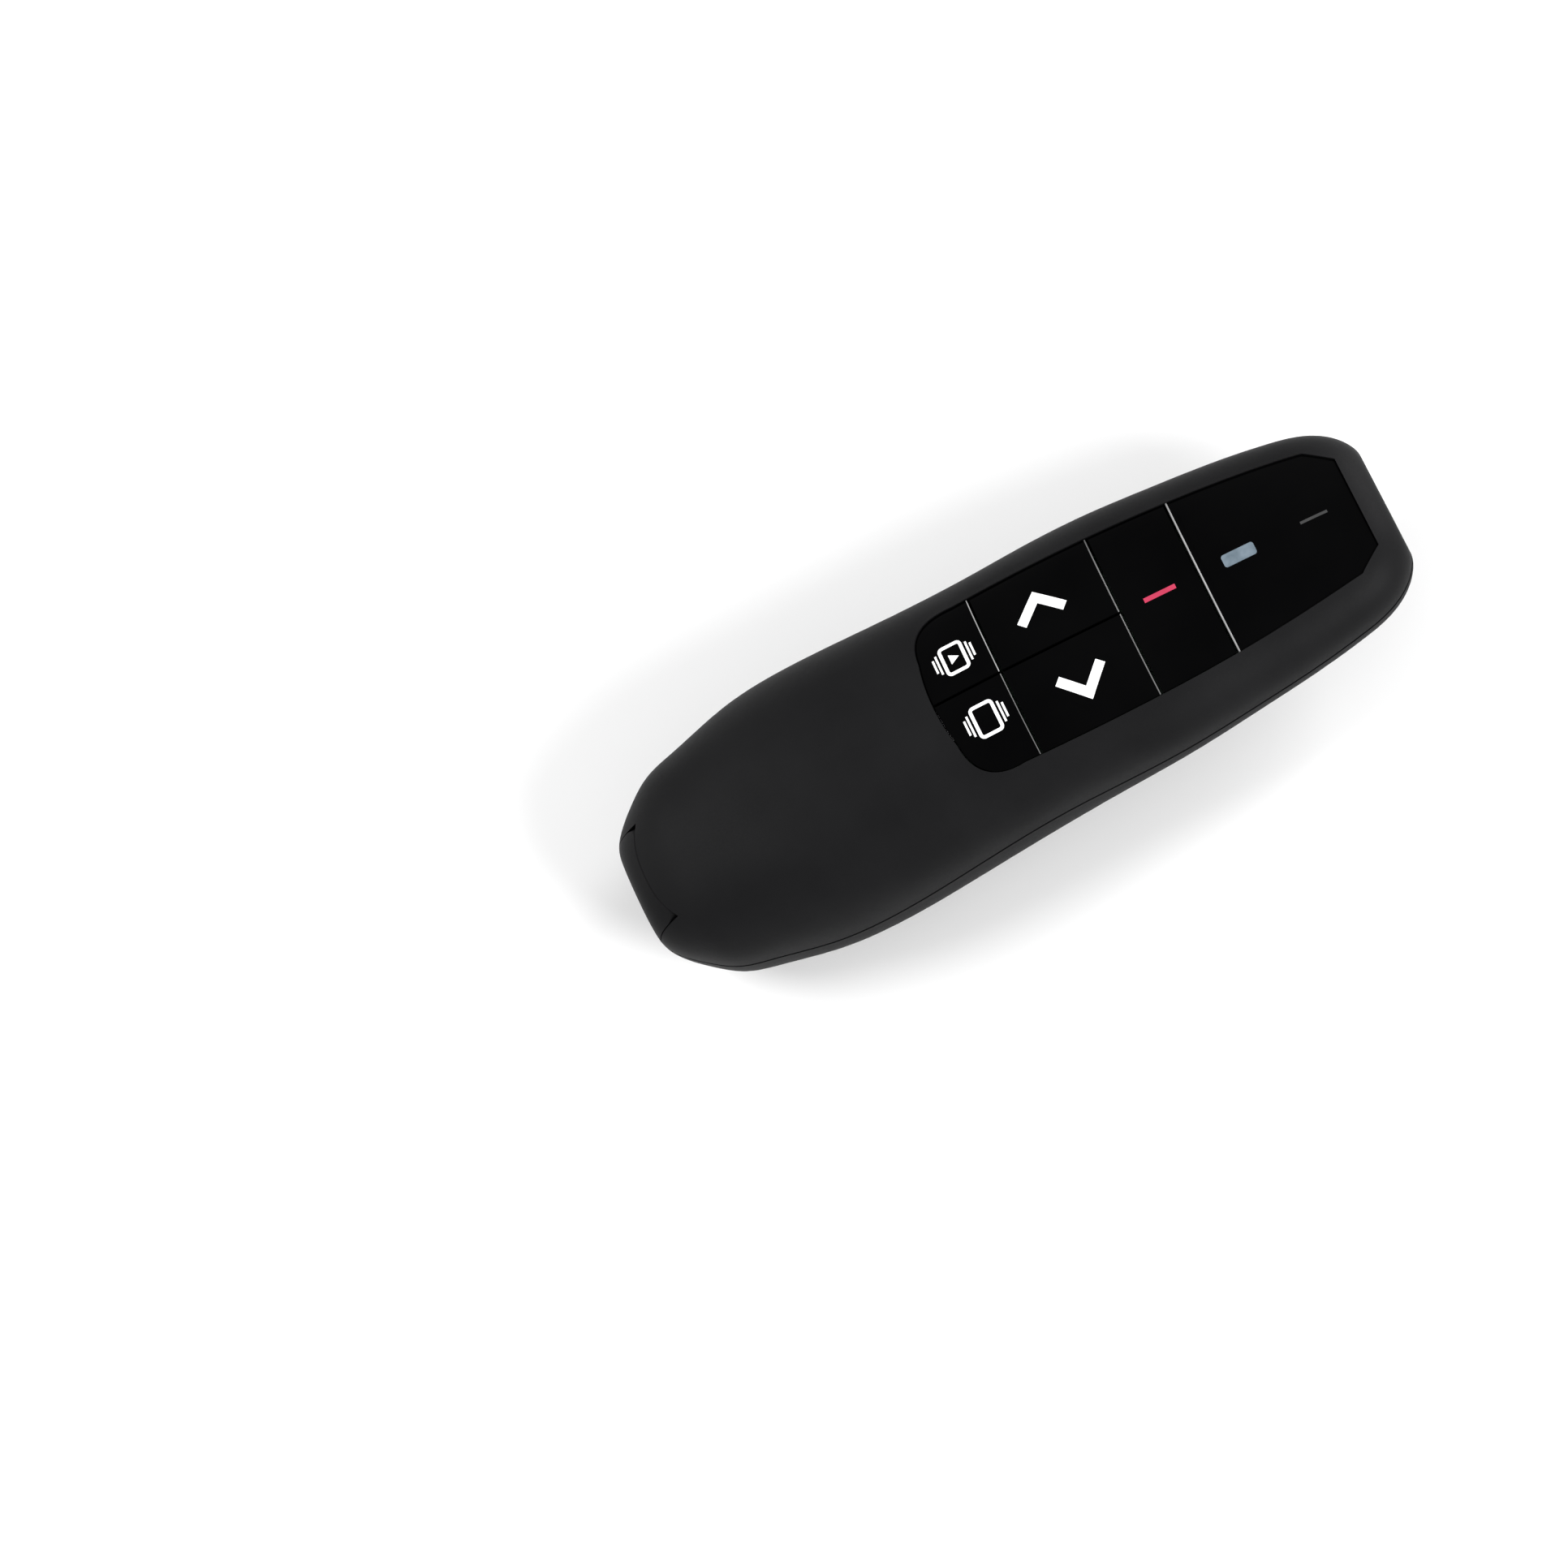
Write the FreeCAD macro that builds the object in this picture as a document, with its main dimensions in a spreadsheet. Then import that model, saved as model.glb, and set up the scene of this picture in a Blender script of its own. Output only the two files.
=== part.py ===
import FreeCAD, Part

import math
import os
import re

import Sketcher

# Wireless presentation clicker. Millimetres, +Z up, nose towards +X, resting on its flat belly.
# Lengths called "..._from_nose" are measured back from the tip of the nose.

SIZES = [
    ("body_length", 116.0),
    ("housing_wall", 1.8),
    ("seam_groove_height", 0.5),
    ("seam_groove_depth", 0.7),
    ("lining_clearance", 0.35),
    # half widths of the housing, tail to nose
    ("tail_tip_half_width", 7.0),
    ("tail_half_width", 14.8),
    ("grip_half_width", 19.1),
    ("waist_half_width", 18.0),
    ("keys_half_width", 18.3),
    ("window_half_width", 17.2),
    ("nose_half_width", 14.6),
    ("nose_turn_half_width", 12.3),
    ("nose_tip_half_width", 7.5),
    # heights of the top line above the table, tail to nose
    ("tail_tip_top", 16.5),
    ("tail_top", 23.2),
    ("grip_top", 27.1),
    ("waist_top", 27.3),
    ("keys_top", 26.6),
    ("window_top", 25.5),
    ("nose_top", 24.1),
    ("nose_turn_top", 22.7),
    ("nose_tip_top", 19.4),
    # heights of the underside, tail to nose, before the belly is cut flat
    ("tail_tip_bottom", 8.5),
    ("tail_bottom", 1.0),
    ("belly_sag", 0.4),
    ("waist_bottom", 0.8),
    ("keys_bottom", 5.6),
    ("window_bottom", 7.6),
    ("nose_bottom", 8.6),
    ("nose_turn_bottom", 10.0),
    ("nose_tip_bottom", 13.0),
    # parting line between cover and case
    ("seam_at_tail", 12.0),
    ("seam_at_grip", 13.0),
    ("seam_at_nose", 16.2),
    # where the outline stations lie
    ("nose_turn_from_nose", 3.0),
    ("nose_station_from_nose", 8.0),
    ("window_station_from_nose", 26.0),
    ("keys_station_from_nose", 43.0),
    ("waist_station_from_nose", 58.0),
    ("belly_front_from_nose", 68.0),
    ("grip_station_from_nose", 86.0),
    ("tail_station_from_tail", 8.0),
    ("belly_rear_from_tail", 14.0),
    # glossy control panel
    ("panel_front_from_nose", 3.3),
    ("window_end_from_nose", 26.8),
    ("laser_end_from_nose", 38.4),
    ("arrows_end_from_nose", 56.5),
    ("panel_end_from_nose", 67.0),
    ("panel_front_half", 7.0),
    ("panel_shoulder_half", 9.8),
    ("panel_shoulder_run", 3.7),
    ("panel_side_bulge", 1.55),
    ("panel_rear_half", 12.5),
    ("panel_rear_run", 8.0),
    ("panel_rear_flat_half", 6.5),
    ("panel_end_crown", 0.7),
    ("panel_recess", 0.35),
    ("window_thickness", 1.0),
    ("window_floor", 1.0),
    ("window_gap", 0.1),
    # keys
    ("key_gap", 0.2),
    ("key_cap_thickness", 2.0),
    ("key_flange_drop", 2.6),
    ("key_flange_thickness", 0.9),
    ("key_flange_reach", 1.0),
    ("key_travel", 0.3),
    ("key_stem_radius", 1.6),
    ("arrow_key_y", 6.4),
    ("rear_key_y", 5.8),
    ("rear_key_from_nose", 61.6),
    # circuit board and what is on it
    ("board_top", 17.2),
    ("board_thickness", 1.2),
    ("board_half_width", 12.5),
    ("board_front_from_nose", 18.0),
    ("board_length", 53.0),
    ("board_corner", 2.0),
    ("tact_side", 6.0),
    ("tact_body_height", 3.4),
    ("tact_height", 4.3),
    ("tact_plunger_radius", 1.7),
    ("tact_bore_clearance", 0.1),
    ("tact_cavity_floor", 1.2),
    ("light_from_nose", 20.7),
    ("light_length", 5.0),
    ("light_width", 2.2),
    ("led_height", 1.1),
    ("led_side", 1.6),
    ("chip_length", 9.9),
    ("chip_width", 3.9),
    ("chip_height", 1.5),
    ("chip_from_nose", 45.0),
    ("crystal_length", 5.0),
    ("crystal_width", 3.2),
    ("crystal_height", 1.1),
    # laser
    ("laser_radius", 3.0),
    ("laser_length", 12.0),
    ("laser_front_from_nose", 4.0),
    ("laser_bore_radius", 2.3),
    ("laser_bore_depth", 2.4),
    ("laser_lens_thickness", 1.4),
    ("laser_board_thickness", 1.0),
    ("laser_board_side", 5.0),
    ("lead_radius", 0.35),
    ("nose_lens_radius", 2.4),
    ("nose_lens_flange", 3.2),
    ("nose_lens_flange_thickness", 0.7),
    ("nose_lens_clearance", 0.08),
    # batteries, their bay and contacts
    ("cell_radius", 5.25),
    ("cell_length", 44.5),
    ("cell_nub_radius", 1.9),
    ("cell_nub_length", 1.0),
    ("cell_spacing", 10.9),
    ("cell_centre_height", 7.4),
    ("cell_clearance", 0.3),
    ("bay_front_from_nose", 56.5),
    ("bay_length", 49.5),
    ("bay_half_width", 11.2),
    ("bay_wall", 1.0),
    ("bay_ceiling", 12.9),
    ("contact_thickness", 0.4),
    ("contact_half_height", 4.0),
    ("contact_inset", 1.2),
    ("spring_wire_radius", 0.3),
    ("spring_foot_radius", 3.6),
    ("spring_tip_radius", 2.4),
    ("spring_turns", 4.0),
    # battery door
    ("door_front_from_nose", 55.5),
    ("door_half_width", 11.9),
    ("door_height", 3.2),
    ("door_gap", 0.15),
    ("door_rail_reach", 0.6),
    ("door_rail_height", 0.7),
    ("door_rail_bottom", 2.1),
    ("door_grip_count", 5),
    ("door_grip_pitch", 1.8),
    ("door_grip_width", 0.8),
    ("door_grip_depth", 0.4),
    ("door_grip_length", 12.0),
    # receiver stored in the tail
    ("receiver_width", 14.6),
    ("receiver_thickness", 6.2),
    ("receiver_length", 19.0),
    ("receiver_round", 1.5),
    ("receiver_floor_gap", 0.2),
    ("plug_width", 12.0),
    ("plug_thickness", 4.5),
    ("plug_length", 12.0),
    ("plug_wall", 0.3),
    ("slot_depth", 32.5),
    ("slot_clearance", 0.15),
    ("slot_wall", 0.9),
    # power switch on the left side
    ("power_from_nose", 49.0),
    ("power_travel", 2.0),
    ("power_height", 14.0),
    ("power_knob_length", 4.0),
    ("power_knob_height", 1.8),
    ("power_knob_reach", 18.7),
    ("power_flange_y", 15.1),
    ("power_flange_thickness", 0.8),
    ("power_flange_height", 3.0),
    ("power_gap", 0.2),
    ("power_body_length", 8.6),
    ("power_body_depth", 3.3),
    ("power_lever_width", 1.2),
    ("power_lever_height", 1.0),
    # screws
    ("screw_shank_radius", 0.9),
    ("screw_head_radius", 1.75),
    ("screw_head_height", 1.3),
    ("screw_length", 8.0),
    ("board_screw_length", 4.0),
    ("screw_clearance", 0.05),
    ("screw_recess_width", 0.5),
    ("screw_recess_depth", 0.7),
    ("counterbore_clearance", 0.2),
    ("boss_radius", 2.05),
    ("column_radius", 2.6),
    ("column_gap", 0.1),
    ("front_screw_from_nose", 13.5),
    ("front_screw_y", 9.8),
    ("front_screw_seat", 11.2),
    ("rear_screw_from_nose", 74.0),
    ("rear_screw_y", 14.3),
    ("rear_screw_seat", 6.0),
    ("seat_thickness", 1.0),
    ("front_post_from_nose", 21.0),
    ("front_post_y", 9.6),
    ("rear_post_from_nose", 68.5),
    ("rear_post_y", 10.2),
    ("post_radius", 1.9),
]

# Places that follow from the sizes, each written once.
PLACES = [
    ("nose_x", "body_length / 2"),
    ("tail_x", "-body_length / 2"),
    ("panel_front_x", "nose_x - panel_front_from_nose"),
    ("window_end_x", "nose_x - window_end_from_nose"),
    ("laser_end_x", "nose_x - laser_end_from_nose"),
    ("arrows_end_x", "nose_x - arrows_end_from_nose"),
    ("panel_end_x", "nose_x - panel_end_from_nose"),
    ("laser_key_x", "(window_end_x + laser_end_x) / 2"),
    ("arrow_key_x", "(laser_end_x + arrows_end_x) / 2"),
    ("rear_key_x", "nose_x - rear_key_from_nose"),
    ("key_bottom_drop", "panel_recess + key_cap_thickness"),
    ("window_seat_drop", "panel_recess + window_thickness"),
    ("window_floor_drop", "window_seat_drop + window_floor"),
    ("board_bottom", "board_top - board_thickness"),
    ("board_front_x", "nose_x - board_front_from_nose"),
    ("board_rear_x", "board_front_x - board_length"),
    ("plunger_top", "board_top + tact_height"),
    ("light_x", "nose_x - light_from_nose"),
    ("laser_front_x", "nose_x - laser_front_from_nose"),
    ("laser_rear_x", "laser_front_x - laser_length"),
    ("laser_z", "seam_at_nose + 0"),
    ("nose_wall_x", "nose_x - housing_wall"),
    ("bay_front_x", "nose_x - bay_front_from_nose"),
    ("bay_rear_x", "bay_front_x - bay_length"),
    ("bay_roof_top", "bay_ceiling + bay_wall"),
    ("cell_y", "cell_spacing / 2"),
    ("spring_length", "bay_length - cell_length - 2 * contact_thickness"),
    ("door_front_x", "nose_x - door_front_from_nose"),
    ("receiver_bottom", "bay_roof_top + receiver_floor_gap"),
    ("receiver_top", "receiver_bottom + receiver_thickness"),
    ("receiver_front_x", "tail_x + receiver_length"),
    ("plug_front_x", "receiver_front_x + plug_length"),
    ("slot_front_x", "tail_x + slot_depth"),
    ("slot_half_width", "receiver_width / 2 + slot_clearance"),
    ("slot_top", "receiver_top + slot_clearance"),
    ("power_x", "nose_x - power_from_nose"),
    ("power_slot_half", "(power_knob_length + power_travel) / 2 + power_gap"),
    ("power_slot_x", "power_x + power_travel / 2"),
    ("power_body_front_y", "board_half_width - power_gap"),
]


def value(name):
    """A size from the sheet, or a place worked out from it."""
    if name in PLACE_NAMES:
        return float(getattr(places, name))
    return float(sheet.get(name))


def bound(text):
    """An expression in plain names, with each name pointed at the sheet or the places."""
    def point(match):
        word = match.group(0)
        if word in SIZE_NAMES:
            return "sizes." + word
        if word in PLACE_NAMES:
            return "places." + word
        return word
    return re.sub(r"[a-z_]{3,}", point, str(text))


doc = FreeCAD.newDocument("presentation_clicker")
sheet = doc.addObject("Spreadsheet::Sheet", "sizes")
for row, (size_name, size) in enumerate(SIZES, start=1):
    sheet.set("A%d" % row, size_name)
    sheet.set("B%d" % row, str(size))
    sheet.setAlias("B%d" % row, size_name)
doc.recompute()
SIZE_NAMES = {name for name, _ in SIZES}
PLACE_NAMES = {name for name, _ in PLACES}
places = doc.addObject("App::FeaturePython", "places")
for place_name, formula in PLACES:
    places.addProperty("App::PropertyFloat", place_name, "Places", formula)
    own_places = re.sub(r"[a-z_]{3,}", lambda m: m.group(0) if m.group(0) in PLACE_NAMES
                        else "sizes." + m.group(0), formula)
    places.setExpression(place_name, own_places)
doc.recompute()
nodes = []


def node(thing, label):
    """Marks a finished piece, whose label names its file."""
    thing.Label = label
    nodes.append(thing)
    return thing


# Primitives bound to the sheet

def bind(thing, **expressions):
    for prop, text in expressions.items():
        thing.setExpression(prop.replace("__", "."), bound(text))
    return thing


def box(name, x_low, x_high, y_low, y_high, z_low, z_high):
    """A block between six bound coordinates."""
    thing = doc.addObject("Part::Box", name)
    return bind(
        thing,
        Length="(%s) - (%s)" % (x_high, x_low),
        Width="(%s) - (%s)" % (y_high, y_low),
        Height="(%s) - (%s)" % (z_high, z_low),
        Placement__Base__x=x_low,
        Placement__Base__y=y_low,
        Placement__Base__z=z_low,
    )


def rod(name, radius, x, y, z_low, z_high):
    """An upright cylinder."""
    thing = doc.addObject("Part::Cylinder", name)
    return bind(
        thing,
        Radius=radius,
        Height="(%s) - (%s)" % (z_high, z_low),
        Placement__Base__x=x,
        Placement__Base__y=y,
        Placement__Base__z=z_low,
    )


def rod_along_x(name, radius, x_low, x_high, y, z):
    """A cylinder lying along X."""
    thing = doc.addObject("Part::Cylinder", name)
    thing.Placement = FreeCAD.Placement(
        FreeCAD.Vector(), FreeCAD.Rotation(FreeCAD.Vector(0, 1, 0), 90))
    return bind(
        thing,
        Radius=radius,
        Height="(%s) - (%s)" % (x_high, x_low),
        Placement__Base__x=x_low,
        Placement__Base__y=y,
        Placement__Base__z=z,
    )


def fuse(name, *shapes):
    thing = doc.addObject("Part::MultiFuse", name)
    thing.Shapes = list(shapes)
    thing.Refine = False
    return thing


def common(name, *shapes):
    thing = doc.addObject("Part::MultiCommon", name)
    thing.Shapes = list(shapes)
    thing.Refine = False
    return thing


def cut(name, base, *tools):
    thing = doc.addObject("Part::Cut", name)
    thing.Base = base
    thing.Tool = tools[0] if len(tools) == 1 else fuse(name + "_tools", *tools)
    thing.Refine = False
    return thing


def shaped(name, shape):
    thing = doc.addObject("Part::Feature", name)
    thing.Shape = shape
    return thing


def number(text):
    """What a bound expression comes to."""
    return float(places.evalExpression(bound(text)))


# Sketches whose corners are bound to the sheet

def new_body(label):
    return node(doc.addObject("PartDesign::Body", label), label)


def new_sketch(body, name, role, offset=None):
    """A sketch on one of its own body's origin planes."""
    sketch = body.newObject("Sketcher::SketchObject", name)
    plane = next(f for f in body.Origin.OriginFeatures if f.Role == role)
    sketch.AttachmentSupport = [(plane, "")]
    sketch.MapMode = "FlatFace"
    if offset is not None:
        sketch.setExpression("AttachmentOffset.Base.z", bound(offset))
    return sketch


def pin(sketch, kind, geometry, point, text):
    """Holds one coordinate of a point to an expression."""
    rule = Sketcher.Constraint(kind, -1, 1, geometry, point, number(text))
    index = sketch.addConstraint(rule)
    sketch.setExpression("Constraints[%d]" % index, bound(text))


def draw_outline(sketch, corners):
    """A closed outline through bound corners."""
    spots = [FreeCAD.Vector(number(u), number(v), 0) for u, v in corners]
    count = len(spots)
    first = sketch.GeometryCount
    for i in range(count):
        sketch.addGeometry(Part.LineSegment(spots[i], spots[(i + 1) % count]), False)
    for i in range(count):
        joined = Sketcher.Constraint("Coincident", first + i, 2, first + (i + 1) % count, 1)
        sketch.addConstraint(joined)
    for i, (u, v) in enumerate(corners):
        pin(sketch, "DistanceX", first + i, 1, u)
        pin(sketch, "DistanceY", first + i, 1, v)


def draw_circle(sketch, u, v, radius):
    centre = FreeCAD.Vector(number(u), number(v), 0)
    round_one = Part.Circle(centre, FreeCAD.Vector(0, 0, 1), number(radius))
    index = sketch.addGeometry(round_one, False)
    pin(sketch, "DistanceX", index, 3, u)
    pin(sketch, "DistanceY", index, 3, v)
    size_rule = sketch.addConstraint(Sketcher.Constraint("Radius", index, number(radius)))
    sketch.setExpression("Constraints[%d]" % size_rule, bound(radius))


def rectangle(u_low, u_high, v_low, v_high):
    return [(u_low, v_low), (u_high, v_low), (u_high, v_high), (u_low, v_high)]


def pad(body, sketch, length, both_ways=False):
    feature = body.newObject("PartDesign::Pad", sketch.Name + "_pad")
    feature.Profile = sketch
    feature.setExpression("Length", bound(length))
    if both_ways:
        feature.Midplane = True
    sketch.Visibility = False
    doc.recompute()
    return feature


def pocket(body, sketch, length, reverse=False):
    before = body.Shape.Volume
    feature = body.newObject("PartDesign::Pocket", sketch.Name + "_pocket")
    feature.Profile = sketch
    feature.setExpression("Length", bound(length))
    feature.Reversed = reverse
    doc.recompute()
    if body.Shape.Volume >= before - 1e-6:
        raise RuntimeError(sketch.Name + " removes nothing")
    return feature


def revolve(body, sketch, axis):
    feature = body.newObject("PartDesign::Revolution", sketch.Name + "_turned")
    feature.Profile = sketch
    feature.ReferenceAxis = (sketch, [axis])
    feature.Angle = 360
    doc.recompute()
    return feature


# Outer form of the housing

def smooth(knots, x):
    """A monotone cubic through (x, value) knots."""
    xs = [knot[0] for knot in knots]
    ys = [knot[1] for knot in knots]
    count = len(xs)
    rise = [(ys[i + 1] - ys[i]) / (xs[i + 1] - xs[i]) for i in range(count - 1)]
    slope = [rise[0]]
    for i in range(1, count - 1):
        same_way = rise[i - 1] * rise[i] > 0
        mean = 2 * rise[i - 1] * rise[i] / (rise[i - 1] + rise[i]) if same_way else 0.0
        slope.append(mean)
    slope.append(rise[-1])
    x = min(max(x, xs[0]), xs[-1])
    i = max(j for j in range(count - 1) if xs[j] <= x)
    span = xs[i + 1] - xs[i]
    t = (x - xs[i]) / span
    near = (2 * t ** 3 - 3 * t ** 2 + 1) * ys[i] + (t ** 3 - 2 * t ** 2 + t) * span * slope[i]
    far = (3 * t ** 2 - 2 * t ** 3) * ys[i + 1] + (t ** 3 - t ** 2) * span * slope[i + 1]
    return near + far


def end_knots(x_tip, tip, x_full, full, power):
    """Knots that round an end off, from its tip to where it is full."""
    steps = (0.0, 0.05, 0.19, 0.5, 1.0)
    return [(x_tip + (x_full - x_tip) * t, tip + (full - tip) * t ** power) for t in steps]


def length_knots(tip, middle, tail_power):
    """Knots from tail to nose for one of the housing's lines."""
    tail_x, nose_x = value("tail_x"), value("nose_x")
    tail_full = tail_x + value("tail_station_from_tail")
    nose_full = nose_x - value("nose_turn_from_nose")
    tail_part = end_knots(tail_x, tip[0], tail_full, tip[1], tail_power)
    nose_part = end_knots(nose_x, tip[3], nose_full, tip[2], 0.5)
    return tail_part + middle + nose_part[::-1]


def housing_lines():
    nose_x, tail_x = value("nose_x"), value("tail_x")
    at = {
        "grip": nose_x - value("grip_station_from_nose"),
        "waist": nose_x - value("waist_station_from_nose"),
        "keys": nose_x - value("keys_station_from_nose"),
        "window": nose_x - value("window_station_from_nose"),
        "nose": nose_x - value("nose_station_from_nose"),
    }
    width = length_knots(
        [value(n + "_half_width") for n in ("tail_tip", "tail", "nose_turn", "nose_tip")],
        [(at[n], value(n + "_half_width")) for n in at], 0.65)
    top = length_knots(
        [value(n + "_top") for n in ("tail_tip", "tail", "nose_turn", "nose_tip")],
        [(at[n], value(n + "_top")) for n in at], 0.5)
    belly = -value("belly_sag")
    under = [(tail_x + value("belly_rear_from_tail"), belly)]
    under.append((nose_x - value("belly_front_from_nose"), belly))
    under += [(at[n], value(n + "_bottom")) for n in ("waist", "keys", "window", "nose")]
    bottom = length_knots(
        [value(n + "_bottom") for n in ("tail_tip", "tail", "nose_turn", "nose_tip")],
        under, 0.5)
    seam = [
        (tail_x, value("seam_at_tail")),
        (tail_x + value("tail_station_from_tail"), value("seam_at_tail") + 0.01),
        (at["grip"], value("seam_at_grip")),
        (at["keys"], value("seam_at_nose") - 0.2),
        (at["window"], value("seam_at_nose")),
        (nose_x, value("seam_at_nose") + 0.01),
    ]
    return width, top, bottom, seam


WIDTH, TOP, BOTTOM, SEAM = housing_lines()
STATIONS = (-1, -0.988, -0.966, -0.922, -0.862, -0.776, -0.62, -0.43, -0.207, 0.0,
            0.172, 0.345, 0.517, 0.69, 0.81, 0.897, 0.948, 0.983, 0.995, 1)


def envelope(inset):
    """The housing's outer form, or the same form drawn in by an inset."""
    half = value("nose_x")
    rings = []
    for share in STATIONS:
        at_x = share * half
        a = smooth(WIDTH, at_x) - inset
        middle = smooth(SEAM, at_x)
        rise = smooth(TOP, at_x) - inset - middle
        fall = middle - smooth(BOTTOM, at_x) - inset
        points = []
        for step in range(28):
            turn = 2 * math.pi * step / 28 - math.pi / 2
            c, s = math.cos(turn), math.sin(turn)
            power = 2 / 2.5 if s >= 0 else 2 / 2.8
            reach = rise if s >= 0 else fall
            y = a * math.copysign(abs(c) ** power, c)
            z = middle + reach * math.copysign(abs(s) ** power, s)
            points.append(FreeCAD.Vector(share * (half - inset), y, z))
        ring = Part.BSplineCurve()
        ring.interpolate(Points=points, PeriodicFlag=True)
        rings.append(Part.Wire([ring.toShape()]))
    return Part.makeLoft(rings, True, False)


def under_seam(drop):
    """Everything below the parting line, or below a line some way under it."""
    half = value("nose_x") + 2
    reach = value("body_length")
    line = [FreeCAD.Vector(half * (k / 15 - 1), 0, 0) for k in range(31)]
    for spot in line:
        spot.y = -reach / 2
        spot.z = smooth(SEAM, spot.x) - drop
    curve = Part.BSplineCurve()
    curve.interpolate(Points=line)
    low_front = FreeCAD.Vector(half, -reach / 2, -reach / 4)
    low_rear = FreeCAD.Vector(-half, -reach / 2, -reach / 4)
    edges = [
        curve.toShape(),
        Part.makeLine(line[-1], low_front),
        Part.makeLine(low_front, low_rear),
        Part.makeLine(low_rear, line[0]),
    ]
    return Part.Face(Part.Wire(edges)).extrude(FreeCAD.Vector(0, reach, 0))


def lowered(name, source, drop):
    """The same form some way lower."""
    shape = source.Shape.copy()
    shape.translate(FreeCAD.Vector(0, 0, -value(drop)))
    return shaped(name, shape)


outer = shaped("outer_form", envelope(0.0))
table = box("above_table", "tail_x - 5", "nose_x + 5", "-40", "40", "0", "60")
mid = shaped("mid_form", envelope(value("seam_groove_depth")))
inner = shaped("inner_form", envelope(value("housing_wall")))
lining = shaped("lining_form", envelope(value("housing_wall") + value("lining_clearance")))
below = shaped("below_seam", under_seam(0.0))
below_groove = shaped("below_groove", under_seam(value("seam_groove_height")))
doc.recompute()


# Outline of the control panel

def panel_wire(grow):
    """The panel's outline seen from above, drawn out by some distance."""
    front_x = value("panel_front_x") + grow
    front = value("panel_front_half") + 0.6 * grow
    shoulder_x = front_x - value("panel_shoulder_run")
    shoulder = value("panel_shoulder_half") + grow
    rear_x = value("panel_end_x") - grow
    rear_side_x = rear_x + value("panel_rear_run")
    rear_corner_x = rear_x + value("panel_end_crown")
    rear = value("panel_rear_half") + grow
    flat = value("panel_rear_flat_half")
    bulge = value("panel_side_bulge")
    side = []
    for k in range(9):
        t = k / 8
        spread = shoulder + (rear - shoulder) * t + bulge * 4 * t * (1 - t) * (1 - 0.25 * t)
        side.append((shoulder_x + (rear_side_x - shoulder_x) * t, spread))
    mid_x = rear_x + value("panel_rear_run") * 0.27
    corner = [side[-1], (mid_x, flat + (rear - flat) * 0.72), (rear_corner_x, flat)]

    def spline(points, mirror):
        curve = Part.BSplineCurve()
        sign = -1 if mirror else 1
        curve.interpolate(Points=[FreeCAD.Vector(x, sign * y, 0) for x, y in points])
        return curve.toShape()

    def line(a, b):
        return Part.makeLine(FreeCAD.Vector(a[0], a[1], 0), FreeCAD.Vector(b[0], b[1], 0))

    end = Part.Arc(
        FreeCAD.Vector(rear_corner_x, flat, 0),
        FreeCAD.Vector(rear_x, 0, 0),
        FreeCAD.Vector(rear_corner_x, -flat, 0)).toShape()
    edges = [
        line((front_x, -front), (front_x, front)),
        line((front_x, front), side[0]),
        spline(side, False),
        spline(corner, False),
        end,
        spline(corner, True),
        spline(side, True),
        line((front_x, -front), (side[0][0], -side[0][1])),
    ]
    return Part.Wire(Part.__sortEdges__(edges))


def panel_block(name, grow):
    face = Part.Face(panel_wire(grow))
    face.translate(FreeCAD.Vector(0, 0, value("board_top")))
    return shaped(name, face.extrude(FreeCAD.Vector(0, 0, 30)))


def zone(name, x_low, x_high, y_low="-40", y_high="40", z_low="-5", z_high="60"):
    return box(name, x_low, x_high, y_low, y_high, z_low, z_high)


panel_hole = panel_block("panel_hole", 0.0)
seat_form = lowered("seat_form", outer, "window_seat_drop")
floor_form = lowered("floor_form", outer, "window_floor_drop")
face_form = lowered("face_form", outer, "panel_recess")
cap_form = lowered("cap_form", outer, "key_bottom_drop")
flange_top_form = lowered("flange_top_form", outer, "key_flange_drop")
flange_low_form = shaped("flange_low_form", flange_top_form.Shape.copy())
flange_low_form.Placement.Base.z = -value("key_flange_thickness")
window_zone = zone("window_zone", "window_end_x", "nose_x")
keys_zone = zone("keys_zone", "panel_end_x - 5", "window_end_x")

# Front window and its light
window_blank = common("window_blank", panel_block("window_block", -value("window_gap")),
                      zone("window_span", "window_end_x + key_gap", "nose_x"), face_form)
node(cut("front_window", window_blank, seat_form), "front_window")
light_block = box("light_block", "light_x - light_length / 2", "light_x + light_length / 2",
                  "-light_width / 2", "light_width / 2", "board_top + led_height", "40")
node(common("status_light_pipe", light_block, seat_form), "status_light_pipe")
node(box("status_led", "light_x - led_side / 2", "light_x + led_side / 2",
         "-led_side / 2", "led_side / 2", "board_top", "board_top + led_height"), "status_led")

# Screws and the columns that take them
CASE_SCREWS = []
for place in ("front", "rear"):
    for side in ("", "-"):
        x = "nose_x - %s_screw_from_nose" % place
        y = "%s%s_screw_y" % (side, place)
        CASE_SCREWS.append((x, y, "%s_screw_seat" % place))
BOARD_POSTS = []
for place, foot in (("front", "5"), ("rear", "bay_ceiling")):
    for side in ("", "-"):
        x = "nose_x - %s_post_from_nose" % place
        BOARD_POSTS.append((x, "%s%s_post_y" % (side, place), foot))


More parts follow.
